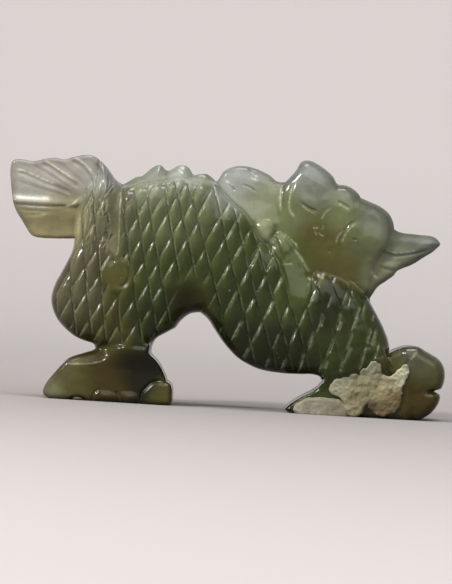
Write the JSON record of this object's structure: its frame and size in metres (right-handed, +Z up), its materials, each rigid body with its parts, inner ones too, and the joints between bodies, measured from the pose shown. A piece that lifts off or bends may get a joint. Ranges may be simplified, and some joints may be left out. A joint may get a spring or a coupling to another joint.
{
  "type": "carved jade dragon figurine",
  "caption": "Carved jade dragon standing on its feet: scaled body, scalloped spine ridge, raised tail fin, mane, horned head with a pointed snout, and a patch of white crust on one front foot.",
  "frame": {"origin": "middle of the bounding box's underside, on the plane that the feet stand on", "axes": "+X towards the head and the front paws, +Y towards the dragon's left side, away from the side with the white crust, +Z up"},
  "size_m": [0.076, 0.0184, 0.0431],
  "materials": {
    "dark_jade": "polished deep green serpentine jade",
    "olive_jade": "polished olive serpentine jade",
    "pale_jade": "polished thin grey-green serpentine jade",
    "white_crust": "rough chalky white rind"
  },
  "bodies": {
    "root": {"tail_fin": "pale_jade", "tail_stem": "olive_jade", "haunch": "dark_jade", "body_arch": "dark_jade", "dorsal_crest": "pale_jade", "belly_web": "dark_jade", "chest": "dark_jade", "shoulder": "dark_jade", "neck_lock": "dark_jade", "mane": "pale_jade", "mane_curl": "pale_jade", "head": "olive_jade", "horn": "pale_jade", "brow": "pale_jade", "nose": "pale_jade", "upper_jaw": "pale_jade", "lower_jaw": "pale_jade", "beard": "olive_jade", "hind_foot_right": "olive_jade", "hind_foot_left": "olive_jade", "hind_heel_right": "pale_jade", "hind_heel_left": "pale_jade", "fore_foot_right": "dark_jade", "fore_foot_left": "dark_jade", "fore_paw_right": "olive_jade", "fore_paw_left": "olive_jade", "fore_thumb_right": "olive_jade", "fore_thumb_left": "olive_jade", "white_crust": "white_crust", "white_claw": "white_crust"}
  },
  "joints": []
}
